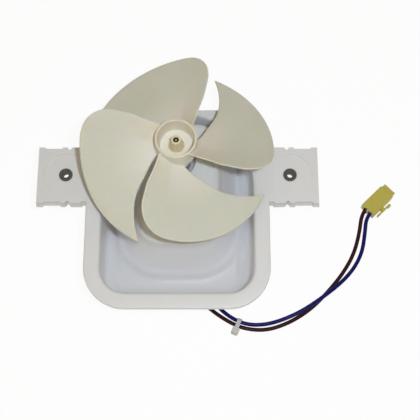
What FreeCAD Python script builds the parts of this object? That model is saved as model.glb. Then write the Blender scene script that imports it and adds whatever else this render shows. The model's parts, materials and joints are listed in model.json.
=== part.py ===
import FreeCAD, Part
import math
import os

# Refrigerator fan: a four-blade wheel on a shaded-pole motor, carried by a moulded tray.
# Millimetres. Z is the fan axis, pointing out of the front. Z = 0 is the rear plane that
# the fan lies on, and X = Y = 0 is on the fan axis.

V = FreeCAD.Vector
UP = V(0, 0, 1)

# Fits
running_gap = 0.03
seat_gap = 0.02
slip_gap = 0.1

# Motor: C-frame stack with its coil below the rotor
shaft_radius = 1.6
rotor_radius = 11.9
air_gap = 0.3
stack_height = 12.0
bore_wall = 5.8
leg_width = 8.5
leg_end = 0.5
stack_chamfer = 4.0
bridge_notch = 2.0
core_height = 10.0
bobbin_wall = 1.0
bobbin_flange = 1.2
coil_half = 11.0
tape = 0.4
flange_proud = 0.6
pole_gap = 5.5
shading_wire_radius = 0.9
shading_wall = 1.3
shading_gap = 0.8
shading_last_angle = -68.0
cage_bars = 12
cage_bar_radius = 0.9
cage_bar_cover = 0.8
cage_ring = 2.0
cage_ring_step = 0.4
cage_ring_width = 3.5

# Bearing brackets: one casting on each side of the stack, measured out from its face
strap_half_width = 5.5
strap_thickness = 2.2
cage_clearance = 1.5
riser_gap = 0.7
riser_thickness = 2.0
housing_wall = 1.5
housing_end_wall = 2.0
housing_fillet = 1.0
bearing_radius = 4.5
bearing_length = 6.4
bearing_rise = 4.0
bearing_end_room = 1.8
bearing_seat_step = 0.5
retainer_thickness = 0.4
retainer_step = 0.6
retainer_slots = 6
retainer_slot_length = 1.2
retainer_slot_half = 0.3
felt_gap = 0.2
felt_width = 1.3
felt_length = 3.4
spacer_radius = 2.8
thrust_radius = 3.2
thrust_thickness = 0.5
shaft_hole_gap = 0.3
shaft_end_gap = 0.5
shaft_chamfer = 0.3
end_cap = 1.0
end_cap_lip = 2.5

# Motor screws, from the rear into bosses under the cover
screw_radius = 1.95
screw_head_radius = 4.0
screw_head_height = 2.6
screw_clearance = 0.4
screw_edge = 4.4
recess_width = 1.0
recess_depth = 1.6
damper_thickness = 1.5
damper_radius = 4.0
screw_boss_radius = 4.0
pilot_floor = 1.6

# Motor cover: the hollow mound in the middle of the basin, as wide at its top as the stack
cover_gap = 2.7
cover_gap_low = 1.5
cover_gap_high = 6.0
mound_rise = 3.5
mound_wall = 1.8
mound_corner = 13.0
mound_flare = 14.0
mound_flare_high = 4.5
mound_edge_fillet = 3.5
shaft_opening_gap = 3.0

# Tray: the basin round the cover, and the flat rim round the basin
floor_side = 6.1
floor_low = 14.6
tray_corner = 24.5
tray_arc_y = -12.8
tray_flat_cut = 7.2
rim_width = 9.5
rim_thickness = 2.4
wall = 2.0
basin_depth = 27.0
basin_draft = 1.4
basin_fillet = 4.5
rear_gap = 5.5

# Ears on the two sides of the tray, with their fixings. Spans are measured from the hole.
ear_hole_out = 12.5
ear_end = 16.7
ear_y = -8.0
ear_height = 33.2
ear_depth = 6.0
ear_wall = 1.8
ear_draft = 0.7
pad_proud = 0.9
pad_spans = ((-9.5, -2.8), (-0.2, 2.8), (12.5, ear_end))
notch_out = -1.5
notch_half = 0.8
ear_dish_radius = 13.0
ear_dish_depth = 0.5
ear_dish_start = -9.5
ear_boss_radius = 6.6
ear_boss_depth = 1.6
ear_rib = 1.4
sleeve_bore_radius = 1.8
sleeve_wall = 0.7
grommet_wall = 0.9
grommet_lip = 0.6
grommet_flange = 0.9

# Fan wheel
fan_radius = 55.5
wheel_gap = 19.0
blade_count = 4
blade_thickness = 1.6
hub_radius = 11.8
hub_wall = 1.3
hub_height = 15.0
hub_floor = 2.0
hub_back_recess = 2.0
hub_boss_radius = 4.3
hub_boss_tip_radius = 2.8
hub_boss_drop = 2.0
shaft_tip_drop = 1.0

# Shape of a blade: its height over the wheel's datum at radius u (share of fan_radius)
# and angle a (radians) is rise + cone u - (twist_root + twist u) a + camber u a a.
blade_root_drop = 1.5
blade_rise = 6.0
blade_cone = -3.0
blade_twist_root = 3.0
blade_twist = 27.5
blade_camber = 13.0

# Outline of a blade in plan, as (share of fan_radius, angle in degrees)
horn_tip_angle = 67.0
lobe_start_angle = -4.0
horn_edge = ((0.40, 38.3), (0.60, 46.6), (0.82, 57.6))
lobe_edge = ((0.98, -12.0), (0.915, -18.5), (0.80, -24.2), (0.55, -31.0), (0.30, -40.5))
root_angles = (21.0, -50.0)

# Leads, tie and connector
lead_diameter = 2.4
lead_radius = lead_diameter / 2
blue_route = (
    (6.0, -48.3, 12.0), (6.8, -53.8, 6.4), (9.4, -60.4, 2.3), (14.6, -69.6, 1.3),
    (22.6, -79.6, 1.4), (31.5, -87.6, 2.2), (41.5, -91.85, 2.2), (53.0, -91.6, 2.0),
    (64.5, -88.3, 3.6), (77.0, -82.4, 4.8), (95.5, -69.2, 4.8), (106.0, -58.6, 2.4),
    (112.6, -47.0, 1.3), (114.9, -34.8, 1.7),
)
brown_route = (
    (1.0, -48.3, 12.0), (1.5, -53.8, 6.4), (3.8, -60.8, 2.3), (9.0, -71.0, 1.3),
    (18.2, -81.6, 1.4), (30.4, -90.2, 2.2), (40.4, -94.4, 2.2), (53.5, -95.0, 1.4),
    (67.5, -90.0, 1.3), (80.0, -82.0, 1.3), (91.0, -71.0, 1.3), (100.0, -60.2, 1.3),
    (107.2, -48.4, 1.3), (111.4, -35.0, 1.6),
)
arc_share = 0.45
shelf_start_x = -2.2
shelf_proud = 3.7
shelf_height = 5.5
tie_band = 0.7
tie_width = 2.5
tie_head = (4.4, 4.6, 3.4)
tie_head_chamfer = 0.8
connector_length = 20.0
connector_width = 10.0
connector_height = 7.5
connector_wall = 1.0
connector_chamfer = 0.5
nose_length = 3.0
nose_step = 0.8
window_radius = 0.9
lead_entry = 3.0
lead_straight = 6.0
lead_pitch = 3.8
entry_place = (116.85, -20.85, 3.75)
connector_angle = 44.0
lock_thickness = 1.0
lock_height = 5.8
lock_peg = 1.0
lock_peg_depth = 2.0
crimp_length = 9.0
crimp_barrel = 3.0
crimp_radius = 1.1
crimp_wall = 0.3
latch_width = 3.2
latch_rise = 2.2
latch_start = 2.0
latch_length = 11.0
latch_thickness = 1.1
hook_length = 2.0
hook_proud = 0.6

# Feet: short ribs under the basin that hold it off the surface behind
foot_length = 10.0
foot_width = 3.0
foot_overlap = 1.5
side_foot_inset = 3.5
side_foot_y = -3.0
low_foot_inset = 13.5
low_foot_rise = 7.0

# Motor in plan, from the rotor outwards
stator_bore = rotor_radius + air_gap
cage_ring_outer = rotor_radius - cage_ring_step
cage_ring_inner = cage_ring_outer - cage_ring_width
cage_bar_circle = rotor_radius - cage_bar_cover - cage_bar_radius
stack_high_y = stator_bore + bore_wall
pole_low_y = -stack_high_y
flange_half = coil_half + tape + flange_proud
coil_y = pole_low_y - pole_gap - flange_half
leg_low_y = coil_y - core_height / 2 - leg_end
riser_x = cage_ring_outer + riser_gap + riser_thickness
screw_x = riser_x + screw_clearance + max(damper_radius, screw_head_radius, screw_boss_radius)
stack_half_width = screw_x + screw_edge
shading_radius = stator_bore + shading_wall + shading_wire_radius
shading_first_y = strap_half_width + shading_gap + shading_wire_radius
shading_angles = (-math.degrees(math.asin(shading_first_y / shading_radius)), shading_last_angle)

# Bearings, from the stack's face outwards
strap_rise = cage_ring + cage_clearance
bearing_height = strap_rise + bearing_rise
housing_end = bearing_height + bearing_length / 2 + bearing_end_room + housing_end_wall
bearing_seat_radius = bearing_radius - bearing_seat_step
retainer_inner = bearing_radius - retainer_step
felt_inner = bearing_radius + felt_gap
housing_bore = felt_inner + felt_width
housing_radius = housing_bore + housing_wall

# Tray in plan, from the motor outwards
shaft_opening_radius = housing_radius + shaft_opening_gap
mound_half_width = stack_half_width
mound_high_y = stack_high_y + cover_gap_high
mound_low_y = coil_y - flange_half - cover_gap_low
basin_half_width = mound_half_width + mound_flare + floor_side + basin_draft
basin_low_y = mound_low_y - mound_flare - floor_low - basin_draft
basin_corner = tray_corner - rim_width
tray_half_width = basin_half_width + rim_width
tray_bottom_y = basin_low_y - rim_width
tray_top_y = tray_arc_y + tray_half_width - tray_flat_cut
ear_hole_x = tray_half_width + ear_hole_out
ear_outer_x = ear_hole_x + ear_end
notch_x = ear_hole_x + notch_out
grommet_neck_radius = sleeve_bore_radius + sleeve_wall + grommet_wall
grommet_flange_radius = grommet_neck_radius + grommet_lip
shelf_low_y = coil_y - flange_half - shelf_proud
side_foot_x = basin_half_width - side_foot_inset
low_foot_x = basin_half_width - low_foot_inset
low_foot_y = basin_low_y + low_foot_rise
foot_places = (
    (side_foot_x, side_foot_y, 90.0), (-side_foot_x, side_foot_y, 90.0),
    (low_foot_x, low_foot_y, 0.0), (-low_foot_x, low_foot_y, 0.0),
)

# Heights, from the rear plane up
floor_z = rear_gap + wall
rim_z = floor_z + basin_depth
mound_top_z = rim_z + mound_rise
ceiling_z = mound_top_z - mound_wall
stack_front_z = ceiling_z - cover_gap - (flange_half - stack_height / 2)
stack_rear_z = stack_front_z - stack_height
coil_z = (stack_front_z + stack_rear_z) / 2
screw_boss_z = stack_front_z + strap_thickness + damper_thickness
pilot_top_z = mound_top_z - pilot_floor
wheel_back_z = mound_top_z + wheel_gap
wheel_front_z = wheel_back_z + hub_height
cup_floor_z = wheel_back_z + hub_back_recess + hub_floor
boss_tip_z = wheel_front_z - hub_boss_drop
shaft_tip_z = boss_tip_z - shaft_tip_drop
blade_datum = wheel_back_z - blade_root_drop


def cylinder(radius, z_low, z_high, x=0.0, y=0.0):
    return Part.makeCylinder(radius, z_high - z_low, V(x, y, z_low))


def ring(outer, inner, z_low, z_high, x=0.0, y=0.0):
    return cylinder(outer, z_low, z_high, x, y).cut(cylinder(inner, z_low, z_high, x, y))


def block(x_low, x_high, y_low, y_high, z_low, z_high):
    corner = V(x_low, y_low, z_low)
    return Part.makeBox(x_high - x_low, y_high - y_low, z_high - z_low, corner)


def turned(points):
    """Solid of revolution about Z of a closed profile of (radius, z) points."""
    corners = [V(r, 0, z) for r, z in points]
    face = Part.Face(Part.makePolygon(corners + corners[:1]))
    return face.revolve(V(0, 0, 0), UP, 360)


def extruded(wire, height):
    return Part.Face(wire).extrude(V(0, 0, height))


def edges_at(shape, z):
    """Edges that lie wholly in the plane at height z."""
    found = []
    for edge in shape.Edges:
        box = edge.BoundBox
        if abs(box.ZMin - z) < 1e-4 and abs(box.ZMax - z) < 1e-4:
            found.append(edge)
    return found


def polar(radius, angle, z):
    turn = math.radians(angle)
    return V(radius * math.cos(turn), radius * math.sin(turn), z)


def arc_through(first, middle, last):
    return Part.Arc(first, middle, last).toShape()


def line(first, last):
    return Part.LineSegment(first, last).toShape()


def corner_arc(centre_x, centre_y, radius, start_angle, z):
    """Quarter turn, counter-clockwise from start_angle."""
    points = []
    for turn in (0.0, 45.0, 90.0):
        points.append(V(centre_x, centre_y, 0) + polar(radius, start_angle + turn, z))
    return arc_through(*points)


def rounded_rectangle(half_width, y_low, y_high, corner_low, corner_high, z):
    x_low = half_width - corner_low
    x_high = half_width - corner_high
    mid_low = y_low + corner_low
    mid_high = y_high - corner_high
    return Part.Wire([
        line(V(-x_low, y_low, z), V(x_low, y_low, z)),
        corner_arc(x_low, mid_low, corner_low, -90, z),
        line(V(half_width, mid_low, z), V(half_width, mid_high, z)),
        corner_arc(x_high, mid_high, corner_high, 0, z),
        line(V(x_high, y_high, z), V(-x_high, y_high, z)),
        corner_arc(-x_high, mid_high, corner_high, 90, z),
        line(V(-half_width, mid_high, z), V(-half_width, mid_low, z)),
        corner_arc(-x_low, mid_low, corner_low, 180, z),
    ])


def basin_outline(inset, z):
    """U-shaped outline: a half circle at the top, straight sides and round lower corners."""
    half = basin_half_width - inset
    low = basin_low_y + inset
    corner = basin_corner - inset
    inner = half - corner
    return Part.Wire([
        line(V(-inner, low, z), V(inner, low, z)),
        corner_arc(inner, low + corner, corner, -90, z),
        line(V(half, low + corner, z), V(half, tray_arc_y, z)),
        corner_arc(0, tray_arc_y, half, 0, z),
        corner_arc(0, tray_arc_y, half, 90, z),
        line(V(-half, tray_arc_y, z), V(-half, low + corner, z)),
        corner_arc(-inner, low + corner, corner, 180, z),
    ])


def basin_solid(offset, z_low, z_high, fillet):
    """Drafted basin, its walls moved out by offset, with a rounded bottom edge."""
    solid = Part.makeLoft([
        basin_outline(basin_draft - offset, z_low),
        basin_outline(-offset, z_high),
    ], True, True)
    return solid.makeFillet(fillet, edges_at(solid, z_low))


def mound_solid(inset, z_low, z_high, fillet):
    """Cover over the motor, wider at its foot, its walls moved in by inset."""
    share_low = (mound_top_z - z_low) / (mound_top_z - floor_z)
    share_high = (mound_top_z - z_high) / (mound_top_z - floor_z)
    outlines = []
    for share, z in ((share_low, z_low), (share_high, z_high)):
        flare = mound_flare * share
        outlines.append(rounded_rectangle(
            mound_half_width + flare - inset,
            mound_low_y - flare + inset,
            mound_high_y + mound_flare_high * share - inset,
            mound_corner + flare - inset,
            mound_corner + flare / 2 - inset,
            z,
        ))
    solid = Part.makeLoft(outlines, True, True)
    return solid.makeFillet(fillet, edges_at(solid, z_high))


def rim_plate():
    """Flat rim: a circle concentric with the basin, squared to the sides and cut flat on top."""
    low = tray_bottom_y
    half = tray_half_width
    inner = half - tray_corner
    z = rim_z - rim_thickness
    flat_x = math.sqrt(half ** 2 - (tray_top_y - tray_arc_y) ** 2)
    flat_angle = math.degrees(math.atan2(tray_top_y - tray_arc_y, flat_x))
    centre = V(0, tray_arc_y, 0)
    right = [centre + polar(half, a, z) for a in (0, flat_angle / 2, flat_angle)]
    left = [V(-p.x, p.y, p.z) for p in reversed(right)]
    outline = Part.Wire([
        line(V(-inner, low, z), V(inner, low, z)),
        corner_arc(inner, low + tray_corner, tray_corner, -90, z),
        line(V(half, low + tray_corner, z), right[0]),
        arc_through(*right),
        line(right[2], left[0]),
        arc_through(*left),
        line(left[2], V(-half, low + tray_corner, z)),
        corner_arc(-inner, low + tray_corner, tray_corner, 180, z),
    ])
    return extruded(outline, rim_thickness)


def ear_outline(spread, z):
    """Right ear in plan, running in under the rim, grown by spread on its three free sides."""
    x_low = basin_half_width + wall
    x_high = ear_outer_x + spread
    y_low = ear_y - ear_height / 2 - spread
    y_high = ear_y + ear_height / 2 + spread
    corners = [V(x_low, y_low, z), V(x_high, y_low, z), V(x_high, y_high, z), V(x_low, y_high, z)]
    return Part.makePolygon(corners + corners[:1])


def right_ear():
    """Shallow drafted box, open at the rear, with a boss for the grommet."""
    back_z = rim_z - ear_depth
    under_z = rim_z - rim_thickness
    ear = Part.makeLoft([ear_outline(ear_draft, back_z), ear_outline(0, rim_z)], True, True)
    for span_low, span_high in pad_spans:
        x_low = ear_hole_x + span_low
        x_high = ear_hole_x + span_high
        y_low = ear_y - ear_height / 2 - pad_proud
        y_high = ear_y + ear_height / 2 + pad_proud
        ear = ear.fuse(block(x_low, x_high, y_low, y_high, back_z, rim_z))
    for sign in (1, -1):
        edge_y = ear_y + sign * (ear_height / 2 + ear_draft)
        deep_y = ear_y + sign * (ear_height / 2 - notch_half)
        corners = [V(notch_x - notch_half * 2, edge_y, back_z), V(notch_x, deep_y, back_z),
                   V(notch_x + notch_half * 2, edge_y, back_z)]
        notch = extruded(Part.makePolygon(corners + corners[:1]), ear_depth)
        ear = ear.cut(notch)
    pocket = Part.makeLoft([
        ear_outline(ear_draft - ear_wall, back_z),
        ear_outline(-ear_wall, under_z),
    ], True, True)
    boss = cylinder(ear_boss_radius, under_z - ear_boss_depth, under_z, ear_hole_x, ear_y)
    pocket = pocket.cut(boss)
    half_rib = ear_rib / 2
    y_half = ear_height / 2
    across = block(ear_hole_x - half_rib, ear_hole_x + half_rib, ear_y - y_half, ear_y + y_half,
                   back_z, under_z)
    along = block(basin_half_width, ear_outer_x, ear_y - half_rib, ear_y + half_rib,
                  back_z, under_z)
    hub = cylinder(ear_boss_radius, back_z, under_z, ear_hole_x, ear_y)
    pocket = pocket.cut(across.fuse(along).cut(hub))
    ear = ear.cut(pocket)
    dish = cylinder(ear_dish_radius, rim_z - ear_dish_depth, rim_z, ear_hole_x, ear_y)
    dish = dish.common(block(ear_hole_x + ear_dish_start, ear_outer_x, ear_y - ear_dish_radius,
                             ear_y + ear_dish_radius, rim_z - ear_dish_depth, rim_z))
    neck = cylinder(grommet_neck_radius + seat_gap, back_z, rim_z, ear_hole_x, ear_y)
    return ear.cut(dish).cut(neck)


def foot(x, y, angle):
    half = foot_length / 2
    rib = block(-half, half, -foot_width / 2, foot_width / 2, 0, rear_gap + foot_overlap)
    rib.rotate(V(0, 0, 0), UP, angle)
    rib.translate(V(x, y, 0))
    return rib


def tray_bracket():
    """One moulding: rim, basin, hollow motor cover, ears, screw bosses and feet."""
    ear = right_ear()
    body = rim_plate().fuse(basin_solid(wall, rear_gap, rim_z, basin_fillet + wall))
    body = body.cut(basin_solid(0, floor_z, rim_z, basin_fillet))
    cover = mound_solid(0, rear_gap, mound_top_z, mound_edge_fillet)
    body = body.fuse([cover, ear, ear.mirror(V(0, 0, 0), V(1, 0, 0))])
    body = body.fuse([foot(*place) for place in foot_places])
    hollow_fillet = mound_edge_fillet - mound_wall
    body = body.cut(mound_solid(mound_wall, rear_gap, ceiling_z, hollow_fillet))
    inside = mound_solid(0, rear_gap, mound_top_z, mound_edge_fillet)
    for x in (-screw_x, screw_x):
        boss = cylinder(screw_boss_radius, screw_boss_z, ceiling_z + mound_wall / 2, x)
        body = body.fuse(boss.common(inside))
        pilot = screw_radius + seat_gap
        body = body.cut(cylinder(pilot, screw_boss_z, pilot_top_z, x))
    return body.cut(cylinder(shaft_opening_radius, ceiling_z, mound_top_z)).removeSplitter()


def grommet(x):
    """Rubber ring snapped into the ear, with a flange on each face."""
    radius = sleeve_bore_radius + sleeve_wall + seat_gap
    face_z = rim_z - ear_dish_depth
    under_z = rim_z - rim_thickness - ear_boss_depth
    body = cylinder(grommet_neck_radius, under_z, face_z, x, ear_y)
    front = cylinder(grommet_flange_radius, face_z, face_z + grommet_flange, x, ear_y)
    rear = cylinder(grommet_flange_radius, under_z - grommet_flange, under_z, x, ear_y)
    front = front.makeFillet(grommet_flange / 2, edges_at(front, face_z + grommet_flange))
    body = body.fuse([front, rear])
    length_low = under_z - grommet_flange
    length_high = face_z + grommet_flange
    return body.cut(cylinder(radius, length_low, length_high, x, ear_y)).removeSplitter()


def sleeve(x):
    """Steel tube that takes the fixing screw's clamping load."""
    z_low = rim_z - rim_thickness - ear_boss_depth - grommet_flange
    z_high = rim_z - ear_dish_depth + grommet_flange
    outer = sleeve_bore_radius + sleeve_wall
    return ring(outer, sleeve_bore_radius, z_low, z_high, x, ear_y)


def blade_height(radius, angle):
    share = radius / fan_radius
    pitch = (blade_twist_root + blade_twist * share) * angle
    return blade_datum + blade_rise + blade_cone * share - pitch + blade_camber * share * angle ** 2


def blade():
    """Blade at rest on +X: a twisted, cambered sheet cut to its sickle outline."""
    radii = [hub_radius * 0.6 + i * (fan_radius * 1.05 - hub_radius * 0.6) / 6 for i in range(7)]
    angles = [math.radians(-62 + i * 144 / 8) for i in range(9)]
    grid = []
    for radius in radii:
        row = []
        for angle in angles:
            height = blade_height(radius, angle)
            row.append(V(radius * math.cos(angle), radius * math.sin(angle), height))
        grid.append(row)
    surface = Part.BSplineSurface()
    surface.interpolate(grid)
    sheet = surface.toShape().extrude(V(0, 0, -blade_thickness))
    z = rim_z
    root = hub_radius - hub_wall / 2
    tip = polar(fan_radius, horn_tip_angle, z)
    lobe = polar(fan_radius, lobe_start_angle, z)
    root_high = polar(root, root_angles[0], z)
    root_low = polar(root, root_angles[1], z)
    horn_points = [root_high] + [polar(fan_radius * u, a, z) for u, a in horn_edge] + [tip]
    lobe_points = [lobe] + [polar(fan_radius * u, a, z) for u, a in lobe_edge] + [root_low]
    horn_curve = Part.BSplineCurve()
    horn_curve.interpolate(horn_points)
    lobe_curve = Part.BSplineCurve()
    tangent = polar(1.0, lobe_start_angle - 90, 0)
    inward = (root_low - lobe_points[-2]).normalize()
    lobe_curve.interpolate(Points=lobe_points, InitialTangent=tangent, FinalTangent=inward)
    middle = polar(fan_radius, (horn_tip_angle + lobe_start_angle) / 2, z)
    outline = Part.Wire([
        horn_curve.toShape(),
        arc_through(tip, middle, lobe),
        lobe_curve.toShape(),
        arc_through(root_low, polar(root, sum(root_angles) / 2, z), root_high),
    ])
    return sheet.common(extruded(outline, wheel_front_z - z + hub_height))


def fan_wheel():
    """One moulding: an open-fronted hub with a tapered boss, and the blades on its rim."""
    inner = hub_radius - hub_wall
    bore = shaft_radius + seat_gap
    back_floor_z = cup_floor_z - hub_floor
    hub = turned([
        (bore, wheel_back_z), (hub_boss_radius, wheel_back_z), (hub_boss_radius, back_floor_z),
        (inner, back_floor_z), (inner, wheel_back_z), (hub_radius, wheel_back_z),
        (hub_radius, wheel_front_z), (inner, wheel_front_z), (inner, cup_floor_z),
        (hub_boss_radius, cup_floor_z), (hub_boss_tip_radius, boss_tip_z), (bore, boss_tip_z),
    ])
    one = blade()
    blades = []
    for index in range(blade_count):
        copy = one.copy()
        copy.rotate(V(0, 0, 0), UP, index * 360 / blade_count)
        blades.append(copy)
    return hub.fuse(blades)


def stack_plate():
    """Outline of one lamination, as thick as the whole stack."""
    half = stack_half_width
    inner = half - leg_width
    corner = half - stack_chamfer
    points = [
        (-corner, stack_high_y), (corner, stack_high_y), (half, stack_high_y - stack_chamfer),
        (half, leg_low_y), (inner, leg_low_y), (inner, pole_low_y),
        (-inner, pole_low_y), (-inner, leg_low_y), (-half, leg_low_y),
        (-half, stack_high_y - stack_chamfer),
    ]
    corners = [V(x, y, stack_rear_z) for x, y in points]
    return extruded(Part.makePolygon(corners + corners[:1]), stack_height)


def shading_places():
    return [polar(shading_radius, angle, 0) for angle in shading_angles]


def stator_core():
    """C-shaped lamination stack with the rotor bore, two thin bridges and its holes."""
    core = stack_plate()
    core = core.cut(cylinder(stator_bore, stack_rear_z, stack_front_z))
    half_notch = bridge_notch / 2
    reach = stator_bore + bridge_notch
    core = core.cut(block(-half_notch, half_notch, -reach, reach, stack_rear_z, stack_front_z))
    for x in (-screw_x, screw_x):
        core = core.cut(cylinder(screw_radius + slip_gap, stack_rear_z, stack_front_z, x))
    slot = shading_wire_radius + seat_gap
    for place in shading_places():
        for sign in (1, -1):
            core = core.cut(cylinder(slot, stack_rear_z, stack_front_z,
                                     sign * place.x, sign * place.y))
    return core


def shading_ring(sign):
    """Closed copper loop round one pole tip, through two holes in the stack."""
    first, last = [V(sign * p.x, sign * p.y, 0) for p in shading_places()]
    radius = shading_wire_radius
    z_low = stack_rear_z - radius
    z_high = stack_front_z + radius
    loop = cylinder(radius, z_low, z_high, first.x, first.y)
    loop = loop.fuse(cylinder(radius, z_low, z_high, last.x, last.y))
    across = last - first
    for z in (z_low, z_high):
        start = V(first.x, first.y, z)
        loop = loop.fuse(Part.makeCylinder(radius, across.Length, start, across))
        for end in (first, last):
            loop = loop.fuse(Part.makeSphere(radius, V(end.x, end.y, z)))
    return loop.removeSplitter()


def coil_core():
    """Straight stack of laminations that carries the coil and closes the C."""
    half = stack_half_width - leg_width - seat_gap
    return block(-half, half, coil_y - core_height / 2, coil_y + core_height / 2,
                 stack_rear_z, stack_front_z)


def coil_section(half_y, half_z, half_x):
    return block(-half_x, half_x, coil_y - half_y, coil_y + half_y, coil_z - half_z,
                 coil_z + half_z)


def lead_start(route):
    """Start point and first direction of a lead."""
    start = V(*route[0])
    return start, (V(*route[1]) - start).normalize()


def coil_bobbin():
    """Moulded spool with two flanges and a shelf that holds the ends of the leads."""
    half_x = stack_half_width - leg_width - slip_gap
    tube_y = core_height / 2 + bobbin_wall
    tube_z = stack_height / 2 + bobbin_wall
    bobbin = coil_section(tube_y, tube_z, half_x)
    for sign in (1, -1):
        centre = sign * (half_x - bobbin_flange / 2)
        flange = coil_section(flange_half, flange_half, bobbin_flange / 2)
        flange.translate(V(centre, 0, 0))
        bobbin = bobbin.fuse(flange)
    shelf_z = coil_z - flange_half
    shelf = block(shelf_start_x, half_x, shelf_low_y, coil_y - coil_half - tape - slip_gap,
                  shelf_z, shelf_z + shelf_height)
    bobbin = bobbin.fuse(shelf)
    for route in (blue_route, brown_route):
        start, direction = lead_start(route)
        bobbin = bobbin.cut(Part.makeCylinder(lead_radius + seat_gap, lead_diameter * 3,
                                              start, direction))
    gap = slip_gap / 2
    window = coil_section(core_height / 2 + gap, stack_height / 2 + gap, half_x)
    return bobbin.cut(window).removeSplitter()


def coil_winding():
    """Enamelled copper between the flanges, rounded where the wire turns the corners."""
    half_x = stack_half_width - leg_width - slip_gap - bobbin_flange
    coil = coil_section(coil_half, coil_half, half_x)
    long_edges = [e for e in coil.Edges if abs(e.BoundBox.XLength - 2 * half_x) < 1e-4]
    coil = coil.makeFillet(coil_half / 3, long_edges)
    tube_y = core_height / 2 + bobbin_wall
    tube_z = stack_height / 2 + bobbin_wall
    return coil.cut(coil_section(tube_y, tube_z, half_x))


def coil_tape():
    """Insulating tape wrapped once round the winding."""
    half_x = stack_half_width - leg_width - slip_gap - bobbin_flange
    outer_half = coil_half + tape
    layers = []
    for half in (outer_half, coil_half):
        layer = coil_section(half, half, half_x)
        long_edges = [e for e in layer.Edges if abs(e.BoundBox.XLength - 2 * half_x) < 1e-4]
        layers.append(layer.makeFillet(coil_half / 3 + half - coil_half, long_edges))
    return layers[0].cut(layers[1])


def facing(shape, front):
    """Place a bracket part on the stack: the front as drawn, the rear turned over."""
    placed = shape.copy()
    if front:
        placed.translate(V(0, 0, stack_front_z))
        return placed
    placed.rotate(V(0, 0, 0), V(0, 1, 0), 180)
    placed.translate(V(0, 0, stack_rear_z))
    return placed


def bearing_bracket(front):
    """Die-cast strap over the rotor with a bearing housing, held down at its two feet."""
    bridge_top = strap_rise + strap_thickness
    half = stack_half_width
    side = strap_half_width
    strap = block(-riser_x, riser_x, -side, side, strap_rise, bridge_top)
    for sign in (1, -1):
        inner = sign * (riser_x - riser_thickness)
        outer = sign * riser_x
        riser = block(min(inner, outer), max(inner, outer), -side, side, 0, bridge_top)
        edge = sign * half
        low, high = sorted((edge, sign * (riser_x - riser_thickness)))
        foot_plate = block(low, high, -side, side, 0, strap_thickness)
        strap = strap.fuse([riser, foot_plate])
    housing = cylinder(housing_radius, strap_rise, housing_end)
    housing = housing.makeFillet(housing_fillet, edges_at(housing, housing_end))
    bracket = strap.fuse(housing)
    seat_z = bearing_height + math.sqrt(bearing_radius ** 2 - bearing_seat_radius ** 2) + seat_gap
    bracket = bracket.cut(cylinder(housing_bore, strap_rise, seat_z))
    bracket = bracket.cut(cylinder(bearing_seat_radius, seat_z, housing_end - housing_end_wall))
    hole = shaft_radius + shaft_hole_gap
    bracket = bracket.cut(cylinder(hole, seat_z, housing_end))
    for x in (-screw_x, screw_x):
        bracket = bracket.cut(cylinder(screw_radius + slip_gap, 0, strap_thickness, x))
    return facing(bracket.removeSplitter(), front)


def bearing(front):
    """Sintered bronze bush, a ball cut flat at both ends, free to line itself up."""
    ball = Part.makeSphere(bearing_radius, V(0, 0, bearing_height))
    half = bearing_length / 2
    ball = ball.common(cylinder(bearing_radius, bearing_height - half, bearing_height + half))
    hole = shaft_radius + running_gap
    return facing(ball.cut(cylinder(hole, 0, housing_end)), front)


def felt_ring(front):
    z_low = bearing_height - felt_length / 2
    outer = housing_bore - seat_gap
    return facing(ring(outer, felt_inner, z_low, z_low + felt_length), front)


def bearing_retainer(front):
    """Spring-steel star washer that holds the bush in its seat."""
    reach = math.sqrt(bearing_radius ** 2 - retainer_inner ** 2)
    z_high = bearing_height - reach - seat_gap
    z_low = z_high - retainer_thickness
    star = ring(housing_bore - seat_gap, retainer_inner, z_low, z_high)
    half = retainer_slot_half
    for index in range(retainer_slots):
        slot = block(0, retainer_inner + retainer_slot_length, -half, half, z_low, z_high)
        slot.rotate(V(0, 0, 0), UP, index * 360 / retainer_slots)
        star = star.cut(slot)
    return facing(star, front)


def thrust_washer(front):
    z_high = bearing_height - bearing_length / 2 - slip_gap
    bore = shaft_radius + seat_gap
    return facing(ring(thrust_radius, bore, z_high - thrust_thickness, z_high), front)


def rotor_spacer(front):
    z_high = bearing_height - bearing_length / 2 - slip_gap - thrust_thickness - seat_gap
    return facing(ring(spacer_radius, shaft_radius + seat_gap, seat_gap, z_high), front)


def rear_end_cap():
    """Pressed steel cap over the end of the rear bearing housing."""
    rear_z = stack_rear_z - housing_end
    lip_z = rear_z + end_cap_lip
    cap = cylinder(housing_radius + end_cap / 2, rear_z - end_cap, lip_z)
    room = cylinder(housing_radius + seat_gap, rear_z, lip_z)
    return cap.cut(room)


def cage_bars_of(radius):
    bars = []
    for index in range(cage_bars):
        place = polar(cage_bar_circle, index * 360 / cage_bars, 0)
        bars.append(cylinder(radius, stack_rear_z, stack_front_z, place.x, place.y))
    return bars


def rotor_core():
    core = ring(rotor_radius, shaft_radius + seat_gap, stack_rear_z, stack_front_z)
    for slot in cage_bars_of(cage_bar_radius + seat_gap):
        core = core.cut(slot)
    return core


def rotor_cage():
    """Aluminium bars and end rings, cast through the rotor's slots."""
    cage = ring(cage_ring_outer, cage_ring_inner, stack_front_z, stack_front_z + cage_ring)
    rear = ring(cage_ring_outer, cage_ring_inner, stack_rear_z - cage_ring, stack_rear_z)
    return cage.fuse([rear] + cage_bars_of(cage_bar_radius)).removeSplitter()


def motor_shaft():
    rear_z = stack_rear_z - housing_end + housing_end_wall + shaft_end_gap
    shaft = cylinder(shaft_radius, rear_z, shaft_tip_z)
    return shaft.makeChamfer(shaft_chamfer, edges_at(shaft, shaft_tip_z))


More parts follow.
